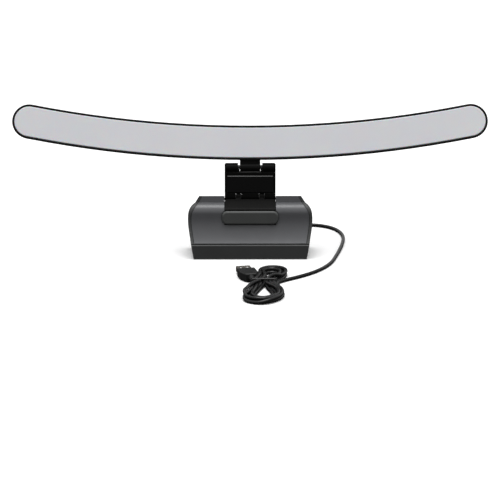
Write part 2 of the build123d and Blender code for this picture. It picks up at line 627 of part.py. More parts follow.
def make_saddle():
    """Saddle frame with its knuckles, ribs and tongue, its lip, pads, screws and springs."""
    top_y, top_z = SADDLE_TOP
    front_y, front_z = SADDLE_FRONT
    slope = math.atan2(top_z - front_z, top_y - front_y)
    down_y = SADDLE_THICK * math.sin(slope)
    down_z = -SADDLE_THICK * math.cos(slope)
    plate = side_prism(
        [
            (top_y, top_z),
            (front_y, front_z),
            (front_y - 1.0, front_z - 1.1),
            (front_y - 1.0, 42.3),
            (TONGUE_BACK_Y, 42.3),
            (front_y + down_y + 1.5, front_z + down_z + 0.7),
            (top_y + down_y, top_z + down_z),
            (top_y + down_y, 48.0),
        ],
        -SADDLE_HALF,
        SADDLE_HALF,
    )
    tongue = block(-TONGUE_HALF, TONGUE_HALF, TONGUE_FRONT_Y, TONGUE_BACK_Y, TONGUE_LOW_Z, 43.0)
    bridge = block(-RIB_X[1], RIB_X[1], top_y + down_y - 0.6, 7.0, 45.3, 47.4)
    frame = plate + tongue + bridge
    rib = side_prism(RIB_SIDE, *RIB_X)
    rib += rod_x(CLAMP_Y, CLAMP_Z, KNUCKLE_RADIUS, *RIB_X)
    knuckle = rod_x(ARM_Y, ARM_Z, KNUCKLE_RADIUS, *SADDLE_KNUCKLE_X)
    web = side_prism(
        [
            (top_y - 0.2, top_z - 0.2),
            (ARM_Y - 2.0, ARM_Z + 1.6),
            (ARM_Y + 2.6, ARM_Z - 1.6),
            (5.5, 46.6),
            (-1.0, 46.6),
        ],
        *SADDLE_KNUCKLE_X,
    )
    for piece in both_sides(rib) + both_sides(knuckle + web):
        frame += piece
    frame -= rod_x(CLAMP_Y, CLAMP_Z, PIN_RADIUS + RUN_GAP, -REACH, REACH)
    frame -= rod_x(ARM_Y, ARM_Z, PIN_RADIUS + FIXED_GAP, -REACH, REACH)
    for x in (-LIP_SCREW_X, LIP_SCREW_X):
        frame -= rod_y(x, LIP_SCREW_Z, LIP_SHANK_RADIUS + 0.2, TONGUE_FRONT_Y - 1, TONGUE_BACK_Y + 1)
        frame -= rod_y(x, LIP_SCREW_Z, LIP_HEAD_RADIUS + 0.1, TONGUE_BACK_Y - 0.95, TONGUE_BACK_Y + 1)
    save("saddle_frame", frame)

    lip = Pos(0, LIP_BACK_Y, 0) * extrude(lip_outline(0), amount=LIP_BACK_Y - LIP_FRONT_Y)
    lip = fillet(lip.faces().sort_by(Axis.Y)[0].edges(), LIP_EDGE)
    wing = strip_prism(-0.2, 4, 20, 0) & block(22.2, 30, -30, 0, 20, 50)
    for cut in both_sides(wing):
        lip -= cut
    screws = []
    for x in (-LIP_SCREW_X, LIP_SCREW_X):
        lip -= rod_y(x, LIP_SCREW_Z, LIP_SHANK_RADIUS + FIXED_GAP, LIP_FRONT_Y + 0.9, LIP_BACK_Y + 1)
        head = rod_y(x, LIP_SCREW_Z, LIP_HEAD_RADIUS, TONGUE_BACK_Y - LIP_HEAD_HIGH, TONGUE_BACK_Y)
        screws.append(head + rod_y(x, LIP_SCREW_Z, LIP_SHANK_RADIUS, LIP_FRONT_Y + 1.0, TONGUE_BACK_Y - 0.5))
    save("front_lip", lip)
    save("lip_screws", *screws)
    pad = block(-LIP_PAD_HALF, LIP_PAD_HALF, TONGUE_BACK_Y + FIXED_GAP, TONGUE_BACK_Y + PAD_THICK, *LIP_PAD_Z)
    save("lip_pad", pad)

    def under(y, drop):
        z = top_z + down_z + (y - top_y - down_y) * math.tan(slope) - drop
        return (y + drop * math.sin(slope), z)

    near_y, far_y = SADDLE_PAD_Y
    high, low = SADDLE_PAD_DEPTH
    corners = [under(near_y, high), under(far_y, high), under(far_y, low), under(near_y, low)]
    save("saddle_pad", side_prism(corners, -SADDLE_PAD_HALF, SADDLE_PAD_HALF))

    gaps = (ARM_CENTRE_KNUCKLE, SADDLE_KNUCKLE_X[1])
    washers = []
    for start in gaps:
        ring = rod_x(ARM_Y, ARM_Z, WASHER_RADIUS, start + WASHER_GAP, start + WASHER_GAP + WASHER_THICK)
        ring -= rod_x(ARM_Y, ARM_Z, PIN_RADIUS + FIXED_GAP, start - 1, start + 2)
        washers += both_sides(ring)
    save("saddle_washers", *washers)
    save("arm_pin", rod_x(ARM_Y, ARM_Z, PIN_RADIUS, -ARM_PIN_HALF, ARM_PIN_HALF))

    long = SPRING_PITCH * SPRING_TURNS
    springs = []
    for x0 in (SPRING_X, -SPRING_X - long):
        line = Helix(SPRING_PITCH, long, SPRING_RADIUS, center=(x0, CLAMP_Y, CLAMP_Z), direction=(1, 0, 0))
        section = Plane(origin=line @ 0, z_dir=line % 0) * Circle(SPRING_WIRE_RADIUS)
        springs.append(sweep(section, path=line, is_frenet=True))
    save("clamp_springs", *springs)


def make_arm():
    """Arm frame, its two covers, screws, wires and the head hinge's pin."""
    frame = block(-ARM_HALF, ARM_HALF, ARM_FRONT_Y + 0.6, ARM_BACK_Y, ARM_LOW_Z, ARM_RIDGE_Z[1] + 0.1)
    frame = fillet(frame.edges().filter_by(Axis.Z), 0.8)
    frame += block(-ARM_PLATE_HALF, ARM_PLATE_HALF, ARM_FRONT_Y + 0.2, 2.0, *ARM_RIDGE_Z)
    for x0, x1 in ((-ARM_CENTRE_KNUCKLE, ARM_CENTRE_KNUCKLE), ARM_OUTER_KNUCKLE):
        foot = rod_x(ARM_Y, ARM_Z, KNUCKLE_RADIUS, x0, x1)
        foot += block(x0, x1, ARM_FRONT_Y, ARM_BACK_Y, ARM_Z, 55.0)
        frame += foot if x0 < 0 else both_sides(foot)
    ear = rod_x(TILT_Y, TILT_Z, TILT_KNUCKLE_RADIUS, *EAR_X)
    ear = chamfer(ear.faces().sort_by(Axis.X)[-1].edges(), EAR_CORNER)
    ear += block(*EAR_X, ARM_FRONT_Y + 1.0, ARM_BACK_Y, 72.5, TILT_Z)
    ear += block(EAR_ROOT_X, EAR_X[0] + 1.0, ARM_FRONT_Y + 1.0, ARM_BACK_Y - 1.5, 72.5, EAR_ROOT_Z)
    frame += both_sides(ear)
    low, high = ARM_PLATE_Z
    frame -= block(-ARM_PLATE_HALF - 0.1, ARM_PLATE_HALF + 0.1, ARM_FRONT_Y - 1, 0.45, low - 0.1, high + 0.1)
    half = ARM_LID_HALF + ARM_LID_GAP
    low, high = ARM_LID_Z
    frame -= block(-half, half, ARM_LID_Y - 0.05, ARM_BACK_Y + 1, low - ARM_LID_GAP, high + ARM_LID_GAP)
    frame -= block(-ARM_DUCT_HALF, ARM_DUCT_HALF, 1.6, 4.0, *ARM_DUCT_Z)
    frame -= rod_x(ARM_Y, ARM_Z, PIN_RADIUS + RUN_GAP, -REACH, REACH)
    frame -= rod_x(TILT_Y, TILT_Z, PIN_RADIUS + FIXED_GAP, -REACH, REACH)
    screw_spots = [(x, z) for x in (-ARM_SCREW_X, ARM_SCREW_X) for z in ARM_SCREW_Z]
    for x, z in screw_spots:
        frame -= rod_y(x, z, 0.82, 1.4, 4.0)
    for x0, x1 in both_signs(ARM_CENTRE_KNUCKLE, ARM_OUTER_KNUCKLE[0]):
        frame -= rod_x(ARM_Y, ARM_Z, KNUCKLE_RADIUS + 0.35, x0, x1)
    save("arm_frame", frame)

    plate = block(-ARM_PLATE_HALF, ARM_PLATE_HALF, ARM_FRONT_Y, 0.4, *ARM_PLATE_Z)
    plate = chamfer(plate.faces().sort_by(Axis.Y)[0].edges(), 0.6)
    save("arm_front_cover", plate)

    lid = block(-ARM_LID_HALF, ARM_LID_HALF, ARM_LID_Y, ARM_BACK_Y, *ARM_LID_Z)
    lid = chamfer(lid.faces().sort_by(Axis.Y)[-1].edges(), 0.35)
    reach, half, deep = ARM_CROSS
    screws = []
    for x, z in screw_spots:
        lid -= rod_y(x, z, 1.0, 3.0, 6.0)
        lid -= rod_y(x, z, ARM_HEAD_RADIUS + 0.1, ARM_BACK_Y - 0.8, ARM_BACK_Y + 1)
        head = rod_y(x, z, ARM_HEAD_RADIUS, ARM_BACK_Y - 0.78, ARM_BACK_Y - 0.1)
        head += rod_y(x, z, 0.8, 1.6, ARM_BACK_Y - 0.7)
        screws.append(head - cross_recess(x, z, ARM_BACK_Y - deep, ARM_BACK_Y, reach, half))
    save("arm_rear_cover", lid)
    save("arm_screws", *screws)

    wires = []
    for x in (-1.0, 1.0):
        points = [(x, 2.5, 58.3), (x, 2.5, 62.0), (x + 2.5, 2.5, 64.5), (x + 2.5, 2.5, 69.6)]
        wires.append(wire(points, ARM_WIRE_RADIUS, 1.5))
    save("arm_wires", *wires)
    save("tilt_pin", rod_x(TILT_Y, TILT_Z, PIN_RADIUS, -TILT_PIN_HALF, TILT_PIN_HALF))
    washer = rod_x(TILT_Y, TILT_Z, TILT_WASHER_RADIUS, BARREL_HALF + 0.1, EAR_X[0] - 0.05)
    washer -= rod_x(TILT_Y, TILT_Z, PIN_RADIUS + FIXED_GAP, 0, 30)
    save("tilt_washers", *both_sides(washer))


def bar_outline(half_width, half_angle=None):
    """The bar's arc-shaped outline: round-ended, or cut square at an angle."""
    centre_y = BAR_RISE + BAR_RADIUS
    end = half_angle or math.degrees(math.asin(BAR_HALF_CHORD / BAR_RADIUS))

    def spot(radius, angle):
        turn = math.radians(angle)
        return (radius * math.sin(turn), centre_y - radius * math.cos(turn))

    inner = BAR_RADIUS - half_width
    outer = BAR_RADIUS + half_width
    edges = [
        ThreePointArc(spot(inner, -end), spot(inner, 0), spot(inner, end)),
        ThreePointArc(spot(outer, -end), spot(outer, 0), spot(outer, end)),
    ]
    for side in (-1, 1):
        ends = (spot(inner, side * end), spot(outer, side * end))
        if half_angle:
            edges.append(Line(*ends))
        else:
            turn = math.radians(side * end)
            x, y = spot(BAR_RADIUS, side * end)
            tip = (x + side * half_width * math.cos(turn), y + side * half_width * math.sin(turn))
            edges.append(ThreePointArc(ends[0], tip, ends[1]))
    return make_face(Curve() + edges)


def bar_slab(half_width, low, high, half_angle=None):
    """The bar's outline with a thickness."""
    return Pos(0, 0, low) * extrude(bar_outline(half_width, half_angle), amount=high - low, dir=(0, 0, 1))


def on_bar(shape, angle, level, across=0.0):
    """Places a shape on the bar's centre line at an angle along its arc."""
    centre = Pos(0, BAR_RISE + BAR_RADIUS, level)
    return centre * Rot(0, 0, angle) * Pos(0, across - BAR_RADIUS, 0) * shape


def to_world(shape):
    """Head frame to row frame: the head pivots at the tilt pin and leans back."""
    lean = math.radians(HEAD_TILT)
    plane = Plane(origin=(0, TILT_Y, TILT_Z), x_dir=(1, 0, 0), z_dir=(0, -math.cos(lean), math.sin(lean)))
    return plane.location * shape


def make_head():
    """Bar housing, bezel, diffuser, light board and the neck."""
    inner_half = BAR_HALF_WIDTH - RIM_WIDTH
    floor = BAR_BACK + BAR_FLOOR
    housing = bar_slab(BAR_HALF_WIDTH, BAR_BACK, BAR_SPLIT)
    housing = fillet(housing.faces().sort_by(Axis.Z)[0].edges(), 2.5)
    housing -= bar_slab(inner_half, floor, BAR_SPLIT + 1)
    screws = []
    film_low = BOARD_HIGH + 0.03
    film = bar_slab(inner_half - 0.3, film_low, film_low + FILM_THICK)
    board = bar_slab(BOARD_HALF_WIDTH, BOARD_LOW, BOARD_HIGH, LED_HALF_ANGLE + 0.4)
    for angle in [side * spot for spot in BOARD_SCREW_ANGLES for side in (-1, 1)]:
        housing += on_bar(Cylinder(2.4, BOARD_LOW - floor + 0.5), angle, (BOARD_LOW + floor - 0.5) / 2)
        housing -= on_bar(Cylinder(0.87, 2.2), angle, BOARD_LOW - 1.0)
        board -= on_bar(Cylinder(1.2, 4), angle, BOARD_LOW)
        film -= on_bar(Cylinder(2.2, 4), angle, BOARD_LOW)
        head = on_bar(Cylinder(1.9, 0.85), angle, BOARD_HIGH + 0.43)
        screws.append(to_world(head + on_bar(Cylinder(0.85, 3.0), angle, BOARD_HIGH - 1.4)))
    leds = []
    for index in range(LED_COUNT):
        angle = LED_HALF_ANGLE * (2 * index / (LED_COUNT - 1) - 1) * 0.995
        near_screw = min(abs(abs(angle) - spot) for spot in BOARD_SCREW_ANGLES)
        across = 3.8 if near_screw < 0.25 else 0.0
        leds.append(to_world(on_bar(Box(*LED_SIZE), angle, BOARD_HIGH + 0.36, across)))
        film -= on_bar(Box(4.1, 3.4, 3), angle, BOARD_HIGH, across)

    film -= block(-BARREL_HALF - 0.5, BARREL_HALF + 0.5, 0, 10.3, -3, 3)
    half = BARREL_HALF + 0.2
    housing -= block(-half, half, 4.0, 9.0, -NECK_HALF_THICK - 0.2, BAR_SPLIT + 1)
    neck_screws = []
    foot = block(-14.0, 14.0, 8.6, 16.0, floor + 0.05, floor + 1.3)
    neck = rod_x(0, 0, TILT_KNUCKLE_RADIUS, -BARREL_HALF, BARREL_HALF)
    neck += block(-BARREL_HALF, BARREL_HALF, 0.5, 9.2, -NECK_HALF_THICK, NECK_HALF_THICK - 0.2)
    neck += block(-BARREL_HALF, BARREL_HALF, 8.6, 9.8, floor + 0.05, NECK_HALF_THICK - 0.2)
    neck += foot
    neck -= rod_x(0, 0, PIN_RADIUS + RUN_GAP, -20, 20)
    for x in (-NECK_SCREW_X, NECK_SCREW_X):
        housing -= Pos(x, NECK_SCREW_Y, floor - 0.8) * Cylinder(1.3, 4)
        housing -= Pos(x, NECK_SCREW_Y, BAR_BACK) * Cylinder(2.3, 1.7)
        neck -= Pos(x, NECK_SCREW_Y, floor) * Cylinder(1.02, 4)
        head = Pos(x, NECK_SCREW_Y, BAR_BACK + 0.46) * Cylinder(2.15, 0.72)
        neck_screws.append(to_world(head + Pos(x, NECK_SCREW_Y, BAR_BACK + 1.7) * Cylinder(1.0, 2.4)))
    save("bar_housing", to_world(housing))
    save("neck_bracket", to_world(neck))
    save("neck_screws", *neck_screws)
    save("led_board", to_world(board))
    save("leds", *leds)
    save("led_board_screws", *screws)
    save("reflector_film", to_world(film))

    bezel = bar_slab(BAR_HALF_WIDTH, BAR_SPLIT + 0.1, BAR_FRONT)
    bezel = fillet(bezel.faces().sort_by(Axis.Z)[-1].edges(), 0.6)
    bezel -= bar_slab(inner_half, BAR_SPLIT, BAR_FRONT + 1)
    bezel -= bar_slab(inner_half + 0.6, BAR_SPLIT, BAR_SPLIT + 1.1)
    save("bar_bezel", to_world(bezel))
    diffuser = bar_slab(inner_half - 0.1, BAR_SPLIT + 0.15, BAR_FRONT + 0.1)
    diffuser = fillet(diffuser.faces().sort_by(Axis.Z)[-1].edges(), 0.7)
    diffuser += bar_slab(inner_half + 0.5, BAR_SPLIT + 0.15, BAR_SPLIT + 1.0)
    save("diffuser", to_world(diffuser))


def make_control():
    """Touch-control board, its parts, the touch electrode and the head's wires."""
    floor = BAR_BACK + BAR_FLOOR
    board_z = floor + 0.7
    save("control_board", to_world(on_bar(Box(*CONTROL_BOARD_SIZE), CONTROL_ANGLE, board_z)))
    parts = [Pos(x, y, 0) * Box(wide, long, CONTROL_PART_HIGH) for x, y, wide, long in CONTROL_PARTS]
    save("control_parts", *[to_world(on_bar(part, CONTROL_ANGLE, board_z + 0.82)) for part in parts])
    save("touch_electrode", to_world(on_bar(Box(*ELECTRODE_SIZE), ELECTRODE_ANGLE, floor + 0.2)))
    wires = []
    for side in (0.0, HEAD_WIRE_SPACING):
        points = [(x, y + side, HEAD_WIRE_LEVEL) for x, y in HEAD_WIRE_ROUTE]
        wires.append(to_world(wire(points, HEAD_WIRE_RADIUS, 8.0)))
    save("head_wires", *wires)


def tube(route, diameter):
    """A cord along straight runs joined by arcs as large as the runs allow."""
    points = [Vector(*point) for point in route]
    radii = []
    for before, here, after in zip(points, points[1:], points[2:]):
        turn = math.radians((here - before).get_angle(after - here))
        shorter = min((here - before).length, (after - here).length)
        radii.append(0.45 * shorter / math.tan(turn / 2))
    line = FilletPolyline(*points, radius=radii)
    cord = sweep(Plane(origin=line @ 0, z_dir=line % 0) * Circle(diameter / 2), path=line)
    section = math.pi * diameter**2 / 4
    print("bend radii", [round(radius, 1) for radius in radii], "length", round(line.length, 1))
    print("tube volume", round(cord.volume, 1), "section times length", round(section * line.length, 1))
    return cord


def make_usb_c_plug():
    """USB-C plug in the base's inlet."""
    y1 = BASE_REAR_Y
    body_y = y1 + PLUG_STANDOFF
    shell = usb_c_block(*PLUG_OUTER, y1 - PLUG_DEPTH, body_y) - usb_c_block(*PLUG_INNER, y1 - 7, y1 - 0.4)
    save("usb_c_shell", shell)
    outline = Plane.XZ * RectangleRounded(*PLUG_BODY, PLUG_BODY_CORNER)
    over = Pos(SOCKET_X, body_y, SOCKET_Z) * extrude(outline, amount=-PLUG_BODY_LENGTH)
    over = fillet(over.faces().sort_by(Axis.Y)[0].edges(), 0.6)
    over = fillet(over.faces().sort_by(Axis.Y)[-1].edges(), 1.2)
    save("usb_c_overmold", over)
    start = body_y + PLUG_BODY_LENGTH
    sections = []
    for y, radius in zip((start, CORD_ROUTE[0][1]), RELIEF_RADII):
        sections.append(Plane(origin=(SOCKET_X, y, SOCKET_Z), z_dir=(0, 1, 0)) * Circle(radius))
    relief = loft(sections)
    for index in range(RELIEF_GROOVES):
        y = start + RELIEF_PITCH * (index + 1)
        core = rod_y(SOCKET_X, SOCKET_Z, RELIEF_RADII[1], y - 1, y + 2)
        relief -= rod_y(SOCKET_X, SOCKET_Z, 4.0, y, y + RELIEF_GROOVE) - core
    save("usb_c_relief", relief)


def hank_face():
    """Outline of the tied hank from above: two lobes and a waist."""
    return make_face(Spline(*HANK_OUTLINE, periodic=True))


def make_lead():
    """The lead's cord and its tied hank."""
    save("lead_cord", tube(CORD_ROUTE, CORD_DIAMETER))
    hank = extrude(hank_face(), amount=HANK_HIGH, dir=(0, 0, 1))
    half = TIE_LENGTH / 2 + 0.3
    hank -= block(-20, 50, HANK_WAIST_Y - half, HANK_WAIST_Y + half, -1, TIE_THICK + 0.05)
    waist_half = HANK_WAIST_HALF - 0.05
    waist = block(-waist_half, waist_half, -half - 1, half + 1, TIE_THICK + 0.05, HANK_HIGH)
    waist = Pos(HANK_X, HANK_WAIST_Y, 0) * waist
    hank -= block(-20, 50, HANK_WAIST_Y - half, HANK_WAIST_Y + half, 0, 20) - waist
    save("lead_hank", hank)
    half = TIE_LENGTH / 2
    reach = HANK_WAIST_HALF + TIE_THICK
    tie = block(-reach, reach, -half, half, 0, HANK_HIGH + TIE_THICK)
    tie -= block(-HANK_WAIST_HALF, HANK_WAIST_HALF, -half - 1, half + 1, TIE_THICK, HANK_HIGH + FIXED_GAP)
    tie = Pos(HANK_X, HANK_WAIST_Y, 0) * tie
    tie = fillet(tie.edges().filter_by(Axis.Y).group_by(SortBy.DISTANCE)[-1], 1.0)
    tie += Pos(HANK_X + reach, HANK_WAIST_Y, 0) * block(-0.5, 2.6, -1.2, 1.2, 5.0, 6.2)
    tie += Pos(HANK_X + reach + 2.6, HANK_WAIST_Y - 3.0, 5.6) * Rot(90, 0, 10) * Cylinder(1.3, 9.0)
    save("lead_tie", tie)


def make_usb_a_plug():
    """USB-A plug at the hank."""
    place = Pos(*USB_A_TIP, USB_A_Z) * Rot(0, 0, USB_A_TURN)
    half_x, half_z = USB_A_HALF
    shell = block(-half_x, half_x, -USB_A_LENGTH, 0, -half_z, half_z)
    half_x, half_z = half_x - USB_A_WALL, half_z - USB_A_WALL
    shell -= block(-half_x, half_x, USB_A_FLOOR - USB_A_LENGTH, 1, -half_z, half_z)
    for x in (-USB_A_WINDOW_X, USB_A_WINDOW_X):
        shell -= block(x - USB_A_WINDOW_HALF, x + USB_A_WINDOW_HALF, *USB_A_WINDOW_Y, 0, 4)
    save("usb_a_shell", place * shell)
    tongue = block(-USB_A_TONGUE_HALF, USB_A_TONGUE_HALF, *USB_A_TONGUE_Y, *USB_A_TONGUE_Z)
    save("usb_a_tongue", place * tongue)
    front_y, shoulder_y, tail_y = USB_A_BODY_Y
    outline = Polyline(
        (-USB_A_BODY_HALF, front_y),
        (-USB_A_BODY_HALF, shoulder_y),
        (-USB_A_BODY_TAIL_HALF, tail_y),
        (USB_A_BODY_TAIL_HALF, tail_y),
        (USB_A_BODY_HALF, shoulder_y),
        (USB_A_BODY_HALF, front_y),
        close=True,
    )
    over = extrude(make_face(outline), amount=USB_A_BODY_HIGH / 2, both=True)
    over = fillet(over.edges().filter_by(Axis.Z, reverse=True), USB_A_BODY_EDGE)
    save("usb_a_overmold", place * over)
    sections = []
    for y, radius in zip((tail_y, USB_A_RELIEF_END_Y), USB_A_RELIEF_RADII):
        sections.append(Plane(origin=(0, y, 0), z_dir=(0, -1, 0)) * Circle(radius))
    save("usb_a_relief", place * loft(sections))


make_base()
make_inlet()
make_saddle()
make_arm()
make_head()
make_control()
make_usb_c_plug()
make_lead()
make_usb_a_plug()
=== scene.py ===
import json
import math

import bmesh
import bpy
import numpy as np
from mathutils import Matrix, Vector


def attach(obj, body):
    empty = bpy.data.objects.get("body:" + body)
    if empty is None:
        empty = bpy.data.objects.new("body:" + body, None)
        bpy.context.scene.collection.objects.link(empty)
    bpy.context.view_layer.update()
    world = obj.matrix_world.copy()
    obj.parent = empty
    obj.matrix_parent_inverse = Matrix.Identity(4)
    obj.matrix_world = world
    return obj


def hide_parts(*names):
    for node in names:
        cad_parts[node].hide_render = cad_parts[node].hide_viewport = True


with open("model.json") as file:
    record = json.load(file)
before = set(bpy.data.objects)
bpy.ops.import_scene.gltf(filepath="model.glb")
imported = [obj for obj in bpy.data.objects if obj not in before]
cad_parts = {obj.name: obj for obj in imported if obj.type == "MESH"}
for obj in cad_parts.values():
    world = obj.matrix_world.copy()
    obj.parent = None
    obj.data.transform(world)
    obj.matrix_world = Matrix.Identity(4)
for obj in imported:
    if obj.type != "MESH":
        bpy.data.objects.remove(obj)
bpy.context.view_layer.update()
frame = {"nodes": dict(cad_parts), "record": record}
nodes = frame["nodes"]

MM = 0.001

# Camera: the view of the lamp from the front, a little from above, through a long lens
CAMERA_AZIMUTH = -0.3
CAMERA_ELEVATION = 15.0
CAMERA_DISTANCE = 3.2
VIEW_WIDTH = 0.439
VIEW_CENTRE = Vector((-0.0001, 0.0, 0.0032))
SENSOR_WIDTH = 36.0

# Light: the room's brightness from straight down (0) to straight up (1), and the softboxes
# as name, strength, spread, elevation and azimuth
ROOM_LEVELS = ((0.0, 0.045), (0.48, 0.066), (0.56, 0.48), (1.0, 0.95))
SOFTBOXES = (("overhead", 2.25, 45.0, 87.0, 0.0),)

# Lead: the cord's route from the inlet's plug to the hank, in metres
CORD_DIAMETER = 3.0 * MM
CORD_ROUTE = [
    (0.024, 0.049, 0.014),
    (0.024, 0.061, 0.014),
    (0.0265, 0.076, 0.0076),
    (0.038, 0.090, 0.0016),
    (0.058, 0.095, 0.0016),
    (0.076, 0.083, 0.0016),
    (0.084, 0.058, 0.0016),
    (0.082, 0.026, 0.0016),
    (0.076, -0.010, 0.0016),
    (0.069, -0.044, 0.0016),
    (0.052, -0.073, 0.0016),
    (0.0245, -0.0975, 0.0016),
]

# Hank: one turn's innermost and outermost lines, in millimetres, from the waist's right side
# round the lower lobe, back through the waist's left side and round the upper lobe
RING = [
    ((12.0, -108.0), (19.0, -108.0)),
    ((15.2, -120.0), (23.6, -121.0)),
    ((18.4, -134.0), (27.0, -136.0)),
    ((17.6, -147.0), (24.4, -152.0)),
    ((10.5, -154.4), (10.5, -165.3)),
    ((3.6, -147.6), (-4.4, -158.5)),
    ((2.8, -135.6), (-6.0, -148.0)),
    ((6.2, -121.0), (-0.8, -128.0)),
    ((9.6, -108.0), (3.1, -108.0)),
    ((11.0, -97.0), (7.4, -97.0)),
    ((11.8, -84.0), (9.0, -85.0)),
    ((12.2, -73.0), (7.0, -69.0)),
    ((17.6, -65.6), (14.4, -57.8)),
    ((23.2, -70.0), (26.5, -61.0)),
    ((22.8, -82.0), (31.4, -71.5)),
    ((17.0, -97.0), (25.8, -91.0)),
]

# Each pass round a lobe: how far out it lies on its first side, at the fold and on its last side,
# and the height of the first pass and the rise from pass to pass
LOWER_PASSES = (
    (0.6, 0.62, 0.3),
    (0.12, 0.14, 0.12),
    (1.05, 0.86, 0.62),
    (0.3, 0.26, 0.2),
    (0.85, 1.02, 0.8),
    (0.7, 0.72, 1.1),
)
LOWER_LAYERS_MM = (1.5, 1.1)
UPPER_PASSES = (
    (0.9, 1.02, 0.8),
    (0.12, 0.16, 0.16),
    (0.7, 0.5, 0.55),
    (0.3, 0.4, 0.3),
    (1.0, 0.85, 1.0),
)
UPPER_LAYERS_MM = (2.0, 1.2)

# Where each pass goes through the tie, as x and z, and the tail that ends in the USB-A plug
WAIST_RIGHT_MM = ((18.6, 2.1), (12.7, 2.1), (15.7, 2.1), (17.2, 4.7), (14.2, 4.7), (11.4, 4.7))
WAIST_LEFT_MM = ((6.6, 2.1), (9.7, 2.1), (3.6, 2.1), (5.6, 4.7), (2.6, 4.7), (8.5, 4.7))
TAIL_MM = ((1.75, -103.6, 4.2), (1.7, -100.2, 3.9))

# Every third settled point becomes a control point of the cord
STRIDE = 3

# Twist tie: its loop round the waist, half as wide and high, and its twisted ends beside the hank
RING_MIDDLE_X = 11.0
TIE_WIRE_RADIUS = 0.5 * MM
TIE_HALF_MM = (10.5, 3.2)
TIE_CORNER_MM = 1.6
CORNER_STEPS = 6
TAIL_LENGTH = 7.5 * MM
TAIL_REACH = 1.4 * MM
TAIL_SPREAD = 1.0 * MM
TAIL_LOW_Z = 2.2 * MM
TAIL_TURNS = 1.5
TAIL_STEPS = 40


def towards(azimuth, elevation):
    """The direction away from the lamp at an azimuth, counted from its front, and an elevation."""
    around = math.radians(azimuth)
    up = math.radians(elevation)
    return Vector((math.sin(around) * math.cos(up), -math.cos(around) * math.cos(up), math.sin(up)))


def make_camera():
    """Sets the camera on the object's front, at the height and width that the lamp is seen from."""
    back = towards(CAMERA_AZIMUTH, CAMERA_ELEVATION)
    data = bpy.data.cameras.new("camera")
    data.sensor_width = SENSOR_WIDTH
    data.lens = SENSOR_WIDTH * CAMERA_DISTANCE / VIEW_WIDTH
    data.clip_start = 0.05
    data.clip_end = 50
    camera = bpy.data.objects.new("camera", data)
    camera.location = VIEW_CENTRE + back * CAMERA_DISTANCE
    camera.rotation_mode = "QUATERNION"
    camera.rotation_quaternion = (-back).to_track_quat("-Z", "Y")
    bpy.context.scene.collection.objects.link(camera)
    bpy.context.scene.camera = camera


def ring_spot(station, level):
    """A point between the ring's innermost and outermost lines."""
    inner, outer = RING[station]
    return [a + (b - a) * level for a, b in zip(inner, outer)]


def lobe(first, last, levels, height):
    """One pass round a lobe, with its level going over from side to fold to side."""
    stations = list(range(first, last))
    spots = np.linspace(0.0, 2.0, len(stations))
    return [
        (*ring_spot(station, float(np.interp(spot, (0.0, 1.0, 2.0), levels))), height)
        for station, spot in zip(stations, spots)
    ]


def hank_sketch():
    """The hank's line, pass by pass, before its turns settle on each other."""
    half = len(RING) // 2
    line = []
    for turn, levels in enumerate(LOWER_PASSES):
        x, z = WAIST_RIGHT_MM[turn]
        line.append((x, RING[0][0][1], z))
        low, rise = LOWER_LAYERS_MM
        line += lobe(1, half, levels, low + rise * turn)
        x, z = WAIST_LEFT_MM[turn]
        line.append((x, RING[half][0][1], z))
        if turn < len(UPPER_PASSES):
            low, rise = UPPER_LAYERS_MM
            line += lobe(half + 1, 2 * half, UPPER_PASSES[turn], low + rise * turn)
    return line + list(TAIL_MM)


def smooth_through(points, per_span=12):
    """A Catmull-Rom line through the points."""
    p = np.array(points, float)
    p = np.vstack([2 * p[0] - p[1], p, 2 * p[-1] - p[-2]])
    t = np.linspace(0, 1, per_span, endpoint=False)[:, None]
    spans = []
    for a, b, c, d in zip(p, p[1:], p[2:], p[3:]):
        square = 2 * a - 5 * b + 4 * c - d
        cube = 3 * b - a - 3 * c + d
        spans.append(0.5 * (2 * b + (c - a) * t + square * t**2 + cube * t**3))
    return np.vstack(spans + [p[-2][None]])


def evenly(points, step):
    """The same line with points a step apart."""
    along = np.concatenate([[0], np.cumsum(np.linalg.norm(np.diff(points, axis=0), axis=1))])
    count = max(2, int(round(along[-1] / step)) + 1)
    want = np.linspace(0, along[-1], count)
    return np.stack([np.interp(want, along, points[:, axis]) for axis in range(3)], axis=1)


